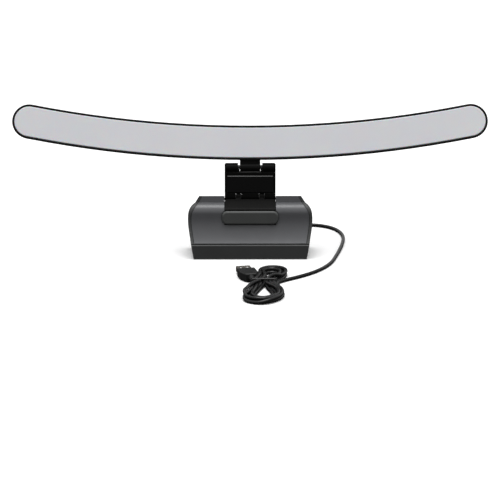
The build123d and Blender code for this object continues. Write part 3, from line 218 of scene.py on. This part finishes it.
class Settling:
    """Lays the hank's strands a diameter apart on the floor, inside the tie and clear of the plug."""

    STEP = 2.0
    ROUNDS = 420
    REACH = 4
    HELD_START = 2
    HELD_END = 4
    APART = 1.03
    PUSH = 0.42
    STIFFNESS = (0.2, 0.04)
    LEAST_BEND = 10.0
    GIVE = 1.0
    STRETCH = 0.5
    PULL_HOME = 0.012
    SINK = 0.03
    TIE_HALF_LENGTH = 2.6
    TIE_X = (2.35, 19.4)
    TIE_Z = (2.05, 4.75)
    FLOOR = 1.52
    CEILING = 8.6
    PLUG_TIP = (-6.8, -63.0)
    PLUG_TURN = math.radians(13.0)
    PLUG_CLEAR = 1.75
    PLUG_STATIONS = (-39.0, -32.5, -24.0, -12.2, 0.5)
    PLUG_HALVES = (1.9, 4.7, 7.9, 7.9, 6.1)

    def __init__(self, line, diameter):
        self.points = evenly(smooth_through(line), self.STEP)
        self.home = self.points.copy()
        self.spacing = float(np.linalg.norm(np.diff(self.points, axis=0), axis=1).mean())
        self.apart = diameter * self.APART
        index = np.arange(len(self.points))
        self.apart_in_line = np.abs(index[:, None] - index[None, :]) > self.REACH
        self.free = np.ones(len(index), bool)
        self.free[-self.HELD_END :] = False
        self.free[: self.HELD_START] = False

    def push_apart(self):
        """Moves strands that lie in each other to either side."""
        between = self.points[:, None, :] - self.points[None, :, :]
        distance = np.sqrt((between**2).sum(axis=2)) + 1e-6
        overlap = np.where(self.apart_in_line, self.apart - distance, 0.0).clip(0, None)
        move = (between * (overlap / distance)[:, :, None]).sum(axis=1)
        count = (overlap > 0).sum(axis=1).clip(1, None)
        self.points += self.PUSH * move / np.sqrt(count)[:, None] * self.free[:, None]

    def straighten(self, share):
        """The cord resists bending, and gives way wherever it is bent tighter than its least radius."""
        middle = (self.points[:-2] + self.points[2:]) / 2
        lift = middle - self.points[1:-1]
        most = self.spacing**2 / (2 * self.LEAST_BEND)
        tight = 1 - most / (np.linalg.norm(lift, axis=1) + 1e-9)
        give = np.maximum(share, self.GIVE * tight)[:, None]
        self.points[1:-1] += give * lift * self.free[1:-1, None]

    def keep_length(self):
        """Neighbours stay one spacing apart."""
        along = np.diff(self.points, axis=0)
        length = np.linalg.norm(along, axis=1)[:, None] + 1e-9
        pull = along * (1 - self.spacing / length) * 0.5
        move = np.zeros_like(self.points)
        move[:-1] += pull
        move[1:] -= pull
        self.points += move * self.STRETCH * self.free[:, None]

    def hold(self, settle):
        """Gravity, the floor, the tie and the plug."""
        p = self.points
        p[:, :2] += self.PULL_HOME * (self.home - p)[:, :2] * self.free[:, None]
        p[:, 2] -= settle * self.free
        p[:, 2] = p[:, 2].clip(self.FLOOR, self.CEILING)
        tied = (np.abs(p[:, 1] - RING[0][0][1]) < self.TIE_HALF_LENGTH) & self.free
        p[tied, 0] = p[tied, 0].clip(*self.TIE_X)
        p[tied, 2] = p[tied, 2].clip(*self.TIE_Z)
        self.clear_plug()

    def clear_plug(self):
        """The plug lies beside the upper lobe, so strands stay to its right."""
        turn = self.PLUG_TURN
        dx = self.points[:, 0] - self.PLUG_TIP[0]
        dy = self.points[:, 1] - self.PLUG_TIP[1]
        across = dx * math.cos(turn) + dy * math.sin(turn)
        along = -dx * math.sin(turn) + dy * math.cos(turn)
        wall = np.interp(along, self.PLUG_STATIONS, self.PLUG_HALVES) + self.PLUG_CLEAR
        beside = (along > self.PLUG_STATIONS[0]) & (along < self.PLUG_STATIONS[-1]) & self.free
        push = np.where(beside, (wall - across).clip(0, None), 0.0)
        self.points[:, 0] += push * math.cos(turn)
        self.points[:, 1] += push * math.sin(turn)

    def run(self):
        """Settles the strands and gives their line."""
        for step in range(self.ROUNDS):
            late = step / self.ROUNDS
            early, always = self.STIFFNESS
            self.push_apart()
            self.straighten(early * (1 - late) + always)
            self.straighten(0.0)
            self.straighten(0.0)
            self.keep_length()
            self.hold(self.SINK * (1 - late))
        return self.points


def make_lead_line():
    """The whole centreline's control points: the route, then the hank's turns and the tail."""
    start = tuple(value / MM for value in CORD_ROUTE[-1])
    settled = Settling([start] + hank_sketch(), CORD_DIAMETER / MM).run()
    turns = [tuple(float(value) * MM for value in point) for point in settled[STRIDE:-1:STRIDE]]
    tail = tuple(float(value) * MM for value in settled[-1])
    return CORD_ROUTE + turns + [tail]


def make_cord():
    """The lead's cord as one smooth tube."""
    points = make_lead_line()
    curve = bpy.data.curves.new("cord", "CURVE")
    curve.dimensions = "3D"
    spline = curve.splines.new("NURBS")
    spline.points.add(len(points) - 1)
    for control, point in zip(spline.points, points):
        control.co = (*point, 1.0)
    spline.order_u = 3
    spline.use_endpoint_u = True
    spline.resolution_u = 5
    curve.bevel_depth = CORD_DIAMETER / 2
    curve.bevel_resolution = 4
    cord = bpy.data.objects.new("cord", curve)
    bpy.context.scene.collection.objects.link(cord)
    return cord


def add_tube(mesh, path, radius, sides=8, closed=False):
    """Sweeps a round section along a path of points into a mesh, with flat ends where it is open."""
    points = [Vector(point) for point in path]
    count = len(points)
    rings = []
    side = Vector((0.0, 0.0, 1.0))
    for index, point in enumerate(points):
        before = points[index - 1] if index or closed else point
        after = points[(index + 1) % count] if index < count - 1 or closed else point
        along = (after - before).normalized()
        across = along.cross(side).normalized()
        side = across.cross(along).normalized()
        turns = [2 * math.pi * step / sides for step in range(sides)]
        ring = [point + radius * (math.cos(turn) * across + math.sin(turn) * side) for turn in turns]
        rings.append([mesh.verts.new(corner) for corner in ring])
    pairs = list(zip(rings, rings[1:] + ([rings[0]] if closed else [])))
    for first, second in pairs:
        for step in range(sides):
            after = (step + 1) % sides
            mesh.faces.new((first[step], first[after], second[after], second[step]))
    if not closed:
        mesh.faces.new(rings[0][::-1])
        mesh.faces.new(rings[-1])


def make_tie():
    """The twist tie: two plastic-covered wires side by side round the waist, and their twisted ends."""
    mesh = bmesh.new()
    middle_x, waist_y = RING_MIDDLE_X * MM, RING[0][0][1] * MM
    half_wide, half_high = TIE_HALF_MM[0] * MM, TIE_HALF_MM[1] * MM
    corner = TIE_CORNER_MM * MM
    centre_z = TIE_WIRE_RADIUS + half_high
    loop = []
    for x_sign, z_sign, start in ((1, 1, 0), (-1, 1, 90), (-1, -1, 180), (1, -1, 270)):
        for step in range(CORNER_STEPS + 1):
            turn = math.radians(start + 90 * step / CORNER_STEPS)
            x = middle_x + x_sign * (half_wide - corner) + corner * math.cos(turn)
            z = centre_z + z_sign * (half_high - corner) + corner * math.sin(turn)
            loop.append((x, z))
    for offset in (-TIE_WIRE_RADIUS, TIE_WIRE_RADIUS):
        add_tube(mesh, [(x, waist_y + offset, z) for x, z in loop], TIE_WIRE_RADIUS, closed=True)
    start_x = middle_x + half_wide + TIE_WIRE_RADIUS
    for phase in (0.0, math.pi):
        twist = []
        for step in range(TAIL_STEPS + 1):
            share = step / TAIL_STEPS
            turn = phase + 2 * math.pi * TAIL_TURNS * share
            spread = TAIL_SPREAD * math.sin(math.pi * min(1.0, share * 4 + 0.1) / 2)
            x = start_x + TAIL_REACH * min(1.0, 3 * share) + spread * math.cos(turn)
            y = waist_y - TAIL_LENGTH * share
            z = centre_z + (TAIL_LOW_Z - centre_z) * share + spread * math.sin(turn)
            twist.append((x, y, z))
        add_tube(mesh, twist, TIE_WIRE_RADIUS)
    bmesh.ops.recalc_face_normals(mesh, faces=mesh.faces)
    data = bpy.data.meshes.new("twist_tie")
    mesh.to_mesh(data)
    mesh.free()
    data.polygons.foreach_set("use_smooth", [True] * len(data.polygons))
    tie = bpy.data.objects.new("twist_tie", data)
    bpy.context.scene.collection.objects.link(tie)
    return tie


class Finish:
    """One procedural material: its Principled shader, and short calls for the nodes that finishes share."""

    def __init__(self, name, roughness, **sockets):
        self.material = bpy.data.materials.new(name)
        self.material.use_nodes = True
        self.tree = self.material.node_tree
        self.shader = self.tree.nodes["Principled BSDF"]
        self.set(roughness=roughness, **sockets)
        self.place = self.tree.nodes.new("ShaderNodeTexCoord").outputs["Object"]
        self.heights = []

    def set(self, **sockets):
        """Sets the shader's own sockets to plain values."""
        for name, value in sockets.items():
            self.shader.inputs[name.replace("_", " ").title().replace("Ior", "IOR")].default_value = value

    def add(self, kind, **inputs):
        """A node with its inputs linked or set."""
        node = self.tree.nodes.new(kind)
        for name, value in inputs.items():
            self.feed(node.inputs[name.replace("_", " ")], value)
        return node

    def feed(self, socket, value):
        """Links an output to a socket, or sets the socket's value."""
        if isinstance(value, bpy.types.NodeSocket):
            self.tree.links.new(value, socket)
        else:
            socket.default_value = value

    def stretched(self, scale):
        """The surface's place with its axes scaled."""
        node = self.add("ShaderNodeMapping", Vector=self.place)
        node.inputs["Scale"].default_value = scale
        return node.outputs["Vector"]

    def noise(self, scale, detail=3.0, rough=0.5, place=None):
        """Soft random variation, at a scale in features per metre."""
        place = place or self.place
        node = self.add("ShaderNodeTexNoise", Vector=place, Scale=scale, Detail=detail, Roughness=rough)
        return node.outputs["Fac"]

    def cells(self, scale, place=None):
        """Distance from the centres of random cells."""
        node = self.add("ShaderNodeTexVoronoi", Vector=place or self.place, Scale=scale)
        return node.outputs["Distance"]

    def spread(self, value, low, high, to_low, to_high):
        """Maps a stretch of values to another, and holds it at the ends."""
        node = self.add("ShaderNodeMapRange", Value=value)
        for name, number in zip(("From Min", "From Max", "To Min", "To Max"), (low, high, to_low, to_high)):
            node.inputs[name].default_value = number
        return node.outputs["Result"]

    def maths(self, kind, *values):
        """One arithmetic node."""
        node = self.tree.nodes.new("ShaderNodeMath")
        node.operation = kind
        for socket, value in zip(node.inputs, values):
            self.feed(socket, value)
        return node.outputs[0]

    def mix(self, share, first, second):
        """A colour between two colours."""
        node = self.tree.nodes.new("ShaderNodeMix")
        node.data_type = "RGBA"
        self.feed(node.inputs["Factor"], share)
        for name, colour in (("A", first), ("B", second)):
            socket = [s for s in node.inputs if s.name == name and s.type == "RGBA"][0]
            self.feed(socket, colour if isinstance(colour, bpy.types.NodeSocket) else (*colour, 1.0))
        return [s for s in node.outputs if s.type == "RGBA"][0]

    def edges(self, width):
        """How near a point is to a sharp edge: 1 on it, 0 on a flat face."""
        soft = self.add("ShaderNodeBevel", Radius=width).outputs["Normal"]
        flat = self.tree.nodes.new("ShaderNodeNewGeometry").outputs["Normal"]
        node = self.tree.nodes.new("ShaderNodeVectorMath")
        node.operation = "DOT_PRODUCT"
        self.feed(node.inputs[0], soft)
        self.feed(node.inputs[1], flat)
        return self.spread(node.outputs["Value"], 0.72, 0.99, 1.0, 0.0)

    def relief(self, height, depth):
        """Adds a height map, with its depth in metres."""
        self.heights.append(self.maths("MULTIPLY", height, depth))

    def colour(self, value):
        """Links or sets the base colour."""
        self.feed(self.shader.inputs["Base Color"], value)

    def done(self, rounding=0.0):
        """Joins the height maps into one bump, on normals rounded at the edges, and gives the material."""
        normal = None
        if rounding:
            normal = self.add("ShaderNodeBevel", Radius=rounding).outputs["Normal"]
        if self.heights:
            total = self.heights[0]
            for height in self.heights[1:]:
                total = self.maths("ADD", total, height)
            bump = self.add("ShaderNodeBump", Height=total, Strength=1.0, Distance=1.0)
            if normal:
                self.feed(bump.inputs["Normal"], normal)
            normal = bump.outputs["Normal"]
        if normal:
            self.feed(self.shader.inputs["Normal"], normal)
        return self.material


def grey(value, tint=(1.0, 1.0, 1.0)):
    """A grey with a slight tint."""
    return tuple(value * share for share in tint)


def moulded(
    name, tone, roughness, grain=7.0, tint=(1.0, 1.0, 1.0), wear_and_highlight=0.5, rounding=0.25 * MM, **sockets
):
    """Moulded plastic: fine spark-eroded grain, faint flow marks, handling marks, and edges lightened
    partly as rubbed wear and partly as a painted highlight.
    """
    f = Finish(name, roughness, **sockets)
    patches = f.noise(38.0, 3.0, 0.55)
    fine = f.noise(2600.0, 2.0, 0.6)
    pits = f.cells(3300.0)
    handled = f.spread(f.noise(160.0, 4.0, 0.6), 0.35, 0.7, 0.15, 1.0)
    # Edge mask: rubbed wear where the surface is handled, and a painted highlight along every sharp edge.
    edge_wear_and_highlight = f.maths("MULTIPLY", f.edges(0.5 * MM), handled)
    base = f.mix(f.spread(patches, 0.3, 0.7, 0.0, 1.0), grey(tone * 0.93, tint), grey(tone * 1.06, tint))
    speck = f.mix(f.spread(fine, 0.35, 0.65, 0.0, 0.35), base, grey(tone * 1.25, tint))
    # Edges lightened in colour: partly rubbed wear, partly a painted highlight.
    f.colour(f.mix(f.maths("MULTIPLY", edge_wear_and_highlight, wear_and_highlight), speck, grey(min(tone * 2.2 + 0.01, 1.0), tint)))
    marks = f.spread(f.noise(85.0, 5.0, 0.65), 0.42, 0.75, roughness - 0.03, roughness + 0.08)
    worn = f.maths("SUBTRACT", marks, f.maths("MULTIPLY", edge_wear_and_highlight, 0.12))
    f.feed(f.shader.inputs["Roughness"], f.maths("ADD", worn, f.spread(fine, 0.3, 0.7, -0.02, 0.02)))
    f.relief(fine, grain * 1e-6)
    f.relief(pits, grain * 0.8e-6)
    f.relief(f.noise(120.0, 2.0, 0.4), 6e-6)
    return f.done(rounding)


def polished_black():
    """Polished black plastic with hairline scratches, dust and faint finger marks."""
    f = Finish("gloss_black", 0.1, specular_ior_level=0.35)
    smear = f.noise(70.0, 4.0, 0.6)
    hair = f.noise(900.0, 2.0, 0.5, f.stretched((0.12, 1.0, 2.4)))
    dust = f.cells(1500.0)
    f.colour(f.mix(f.spread(dust, 0.02, 0.06, 0.25, 0.0), grey(0.0062), grey(0.03)))
    lines = f.spread(hair, 0.62, 0.72, 0.0, 0.12)
    f.feed(f.shader.inputs["Roughness"], f.maths("ADD", f.spread(smear, 0.35, 0.75, 0.07, 0.2), lines))
    f.relief(hair, 1.2e-6)
    f.relief(f.noise(60.0, 2.0, 0.4), 5e-6)
    return f.done(0.2 * MM)


def frosted_diffuser():
    """Milky diffuser sheet: fine frost, faint clouding and a slightly glossy skin."""
    f = Finish("milky_diffuser", 0.42, coat_weight=0.15, coat_roughness=0.25)
    cloud = f.noise(16.0, 3.0, 0.5)
    frost = f.noise(4200.0, 2.0, 0.6)
    clear = f.mix(f.spread(cloud, 0.3, 0.7, 0.0, 1.0), (0.86, 0.865, 0.91), (0.895, 0.9, 0.935))
    f.colour(f.mix(f.spread(frost, 0.3, 0.7, 0.0, 0.25), clear, (0.93, 0.93, 0.945)))
    f.feed(f.shader.inputs["Roughness"], f.spread(f.noise(45.0, 4.0, 0.6), 0.35, 0.7, 0.36, 0.48))
    f.set(subsurface_weight=0.2, subsurface_scale=2.0 * MM)
    f.relief(frost, 5e-6)
    f.relief(f.noise(30.0, 2.0, 0.4), 12e-6)
    return f.done(0.2 * MM)


def plated(name, colour, roughness, brush=(1.0, 1.0, 0.06), scratches=0.35):
    """Plated or ground steel: brushed grain, small scratches and slight tarnish."""
    f = Finish(name, roughness, metallic=1.0)
    grain = f.noise(2600.0, 3.0, 0.6, f.stretched(brush))
    stain = f.noise(140.0, 4.0, 0.6)
    scratch = f.noise(1100.0, 2.0, 0.5, f.stretched((0.1, 1.3, 1.3)))
    dull = tuple(value * 0.78 for value in colour)
    base = f.mix(f.spread(stain, 0.35, 0.75, 0.0, 0.7), colour, dull)
    bright = tuple(min(value * 1.12, 1.0) for value in colour)
    f.colour(f.mix(f.spread(grain, 0.3, 0.7, 0.0, 0.4), base, bright))
    rough = f.spread(grain, 0.3, 0.7, roughness - 0.06, roughness + 0.08)
    lines = f.spread(scratch, 0.6, 0.75, 0.0, scratches * 0.3)
    f.feed(f.shader.inputs["Roughness"], f.maths("ADD", rough, lines))
    f.relief(grain, 3e-6)
    f.relief(scratch, 2e-6)
    return f.done(0.12 * MM)


def cast_weight():
    """The counterweight: sawn steel with scale and oil stains."""
    f = Finish("weight_steel", 0.55, metallic=0.9)
    scale = f.noise(220.0, 5.0, 0.7)
    sawn = f.noise(500.0, 2.0, 0.5, f.stretched((4.0, 0.15, 0.15)))
    f.colour(f.mix(f.spread(scale, 0.35, 0.7, 0.0, 1.0), grey(0.3), (0.16, 0.14, 0.12)))
    f.feed(f.shader.inputs["Roughness"], f.spread(scale, 0.3, 0.7, 0.4, 0.75))
    f.relief(scale, 4e-5)
    f.relief(sawn, 2e-5)
    return f.done(0.3 * MM)


def glossy_sleeve():
    """The cord's glossy PVC: faint lengthwise draw marks, soft waviness and a little dust."""
    f = Finish("cord_sleeve", 0.24, specular_ior_level=0.3, coat_weight=0.08, coat_roughness=0.15)
    wave = f.noise(190.0, 3.0, 0.5)
    dust = f.noise(1700.0, 3.0, 0.7)
    f.colour(f.mix(f.spread(dust, 0.6, 0.8, 0.0, 0.6), grey(0.0075), grey(0.04)))
    f.feed(f.shader.inputs["Roughness"], f.spread(f.noise(420.0, 4.0, 0.6), 0.35, 0.7, 0.2, 0.36))
    f.relief(wave, 4e-5)
    f.relief(dust, 4e-6)
    return f.done()


def rubber():
    """Soft black rubber with a matt skin and fine dust."""
    f = Finish("black_rubber", 0.75)
    dust = f.noise(900.0, 5.0, 0.7)
    f.colour(f.mix(f.spread(dust, 0.5, 0.8, 0.0, 0.5), grey(0.016), grey(0.07)))
    f.feed(f.shader.inputs["Roughness"], f.spread(dust, 0.3, 0.7, 0.62, 0.88))
    f.relief(f.cells(1800.0), 2e-5)
    return f.done(0.2 * MM)


def open_foam():
    """Open-cell foam, darker at the pits of its cells as painted shade in the pores."""
    f = Finish("foam", 0.95)
    cell = f.cells(1500.0)
    # Painted shade: the cells' pits, where the relief is lowest, are coloured darker.
    f.colour(f.mix(f.spread(cell, 0.1, 0.6, 0.0, 1.0), grey(0.02), grey(0.13)))
    f.relief(cell, 3e-4)
    return f.done()


def white_solder_mask():
    """The light board's white solder mask, over faint copper tracks."""
    f = Finish("white_board", 0.38)
    track = f.spread(f.noise(170.0, 1.0, 0.4, f.stretched((0.2, 3.0, 3.0))), 0.48, 0.52, 0.0, 1.0)
    f.colour(f.mix(f.maths("MULTIPLY", track, 0.5), (0.84, 0.85, 0.84), (0.72, 0.75, 0.72)))
    f.feed(f.shader.inputs["Roughness"], f.spread(f.noise(700.0, 3.0), 0.3, 0.7, 0.3, 0.48))
    f.relief(track, 3e-5)
    return f.done(0.1 * MM)


def green_board():
    """Glass-epoxy board: green solder mask over copper tracks and pads."""
    f = Finish("circuit_board", 0.32, coat_weight=0.4, coat_roughness=0.15)
    long_way = f.noise(420.0, 0.0, 0.0, f.stretched((0.25, 1.6, 1.0)))
    cross_way = f.noise(420.0, 0.0, 0.0, f.stretched((1.6, 0.25, 1.0)))
    along = f.spread(long_way, 0.55, 0.57, 0.0, 1.0)
    across = f.spread(cross_way, 0.58, 0.6, 0.0, 1.0)
    track = f.maths("MAXIMUM", along, across)
    weave = f.noise(2400.0, 2.0, 0.5)
    mask = f.mix(track, (0.008, 0.09, 0.035), (0.03, 0.2, 0.07))
    f.colour(f.mix(f.spread(weave, 0.4, 0.7, 0.0, 0.2), mask, (0.06, 0.16, 0.08)))
    f.relief(track, 3.5e-5)
    f.relief(weave, 5e-6)
    return f.done(0.1 * MM)


def light_emitter():
    """Light-emitting diode: white package rim and a yellow phosphor window."""
    f = Finish("led_package", 0.35)
    grains = f.noise(5200.0, 3.0, 0.7)
    f.colour(f.mix(f.spread(grains, 0.3, 0.7, 0.0, 1.0), (0.88, 0.7, 0.2), (0.95, 0.84, 0.38)))
    f.feed(f.shader.inputs["Roughness"], f.spread(grains, 0.3, 0.7, 0.25, 0.5))
    f.relief(grains, 1e-5)
    return f.done(0.15 * MM)


def copper_foil():
    """The touch electrode's copper foil, wrinkled where it was pressed on."""
    f = Finish("copper_foil", 0.3, metallic=1.0)
    wrinkle = f.noise(260.0, 4.0, 0.6)
    f.colour(f.mix(f.spread(wrinkle, 0.3, 0.7, 0.0, 1.0), (0.72, 0.36, 0.19), (0.86, 0.5, 0.3)))
    f.feed(f.shader.inputs["Roughness"], f.spread(f.noise(800.0, 4.0), 0.3, 0.7, 0.2, 0.42))
    f.relief(wrinkle, 6e-5)
    return f.done()


def white_film():
    """The reflector film's soft white."""
    f = Finish("white_film", 0.6)
    fibre = f.noise(1300.0, 4.0, 0.6)
    f.colour(f.mix(f.spread(fibre, 0.3, 0.7, 0.0, 1.0), grey(0.84), grey(0.92)))
    f.relief(fibre, 1e-5)
    return f.done()


FINISHES = {
    "base_plastic": lambda: moulded(
        "base_plastic", 0.065, 0.42, 9.0, (0.98, 1.0, 1.0), specular_ior_level=0.2
    ),
    "base_panel": lambda: moulded("base_panel", 0.1, 0.36, 7.0, (0.97, 0.99, 1.05)),
    "lip_plastic": lambda: moulded(
        "lip_plastic", 0.078, 0.38, 7.0, (0.98, 1.02, 1.0), specular_ior_level=0.3
    ),
    "black_plastic": lambda: moulded(
        "black_plastic", 0.006, 0.38, 6.0, (1.0, 1.0, 0.96), specular_ior_level=0.05
    ),
    "gloss_black": polished_black,
    "bar_plastic": lambda: moulded("bar_plastic", 0.006, 0.38, 6.0, specular_ior_level=0.15),
    "milky_diffuser": frosted_diffuser,
    "white_film": white_film,
    "white_board": white_solder_mask,
    "led_package": light_emitter,
    "circuit_board": green_board,
    "component": lambda: moulded("component", 0.02, 0.45, 10.0),
    "copper_foil": copper_foil,
    "screw_steel": lambda: plated("screw_steel", (0.42, 0.42, 0.43), 0.32, (1.0, 0.2, 1.0)),
    "pin_steel": lambda: plated("pin_steel", (0.6, 0.6, 0.61), 0.24, (0.1, 1.0, 1.0)),
    "spring_steel": lambda: plated("spring_steel", (0.3, 0.3, 0.31), 0.34, (1.0, 1.0, 1.0)),
    "weight_steel": cast_weight,
    "plated_steel": lambda: plated("plated_steel", (0.66, 0.65, 0.62), 0.25, (1.0, 0.08, 1.0)),
    "warm_plated_steel": lambda: plated("warm_plated_steel", (0.62, 0.575, 0.5), 0.27, (1.0, 0.08, 1.0)),
    "connector_plastic": lambda: moulded("connector_plastic", 0.78, 0.4, 5.0, (1.0, 0.99, 0.95), wear_and_highlight=0.1),
    "plug_plastic": lambda: moulded("plug_plastic", 0.011, 0.42, 12.0, specular_ior_level=0.3),
    "cord_sleeve": glossy_sleeve,
    "tie_plastic": lambda: moulded("tie_plastic", 0.01, 0.34, 5.0, wear_and_highlight=0.3),
    "wire_sleeve": lambda: moulded("wire_sleeve", 0.32, 0.4, 5.0, (1.0, 0.1, 0.08), wear_and_highlight=0.1),
    "black_rubber": rubber,
    "foam": open_foam,
    "washer_nylon": lambda: moulded("washer_nylon", 0.012, 0.4, 5.0, wear_and_highlight=0.1),
}
materials = {slot: make() for slot, make in FINISHES.items()}


def finish_frame():
    """Gives each CAD node the finish that its slot in the record names."""
    for row in frame["record"]["subparts"]:
        piece = nodes[row["node"]]
        for slot in piece.material_slots:
            slot.material = materials[row["material_slot"]]


def make_floor():
    """A plain pale floor under and behind the lamp."""
    mesh = bmesh.new()
    bmesh.ops.create_grid(mesh, x_segments=8, y_segments=8, size=9.0)
    data = bpy.data.meshes.new("floor")
    mesh.to_mesh(data)
    mesh.free()
    floor = bpy.data.objects.new("floor", data)
    bpy.context.scene.collection.objects.link(floor)
    f = Finish("floor", 0.9)
    f.colour(f.mix(f.spread(f.noise(3.0, 2.0), 0.3, 0.7, 0.0, 1.0), grey(0.93), grey(0.95)))
    f.set(specular_ior_level=0.1)
    data.materials.append(f.done())
    floor.visible_diffuse = False
    floor.visible_glossy = False


def make_light():
    """A room that is bright overhead and dim below the horizon, and a large soft light from above."""
    world = bpy.data.worlds.new("room")
    world.use_nodes = True
    tree = world.node_tree
    direction = tree.nodes.new("ShaderNodeTexCoord").outputs["Generated"]
    parts = tree.nodes.new("ShaderNodeSeparateXYZ")
    height = tree.nodes.new("ShaderNodeMapRange")
    ramp = tree.nodes.new("ShaderNodeValToRGB")
    height.inputs["From Min"].default_value = -1.0
    tree.links.new(direction, parts.inputs["Vector"])
    tree.links.new(parts.outputs["Z"], height.inputs["Value"])
    tree.links.new(height.outputs["Result"], ramp.inputs["Fac"])
    tree.links.new(ramp.outputs["Color"], tree.nodes["Background"].inputs["Color"])
    stops = ramp.color_ramp.elements
    while len(stops) < len(ROOM_LEVELS):
        stops.new(0.5)
    for stop, (spot, level) in zip(stops, ROOM_LEVELS):
        stop.position = spot
        stop.color = (level, level, level, 1.0)
    bpy.context.scene.world = world
    for name, strength, spread, elevation, azimuth in SOFTBOXES:
        data = bpy.data.lights.new(name, "SUN")
        data.energy = strength
        data.angle = math.radians(spread)
        light = bpy.data.objects.new(name, data)
        light.rotation_mode = "QUATERNION"
        light.rotation_quaternion = towards(azimuth, elevation).to_track_quat("Z", "Y")
        bpy.context.scene.collection.objects.link(light)


make_camera()
cord = make_cord()
tie = make_tie()
finish_frame()
make_floor()
make_light()
bpy.context.scene.view_settings.view_transform = "Standard"

cord.data.materials.append(materials["cord_sleeve"])
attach(cord, "base")
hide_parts("lead_cord", "lead_hank")
tie.data.materials.append(materials["tie_plastic"])
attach(tie, "base")
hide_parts("lead_tie")
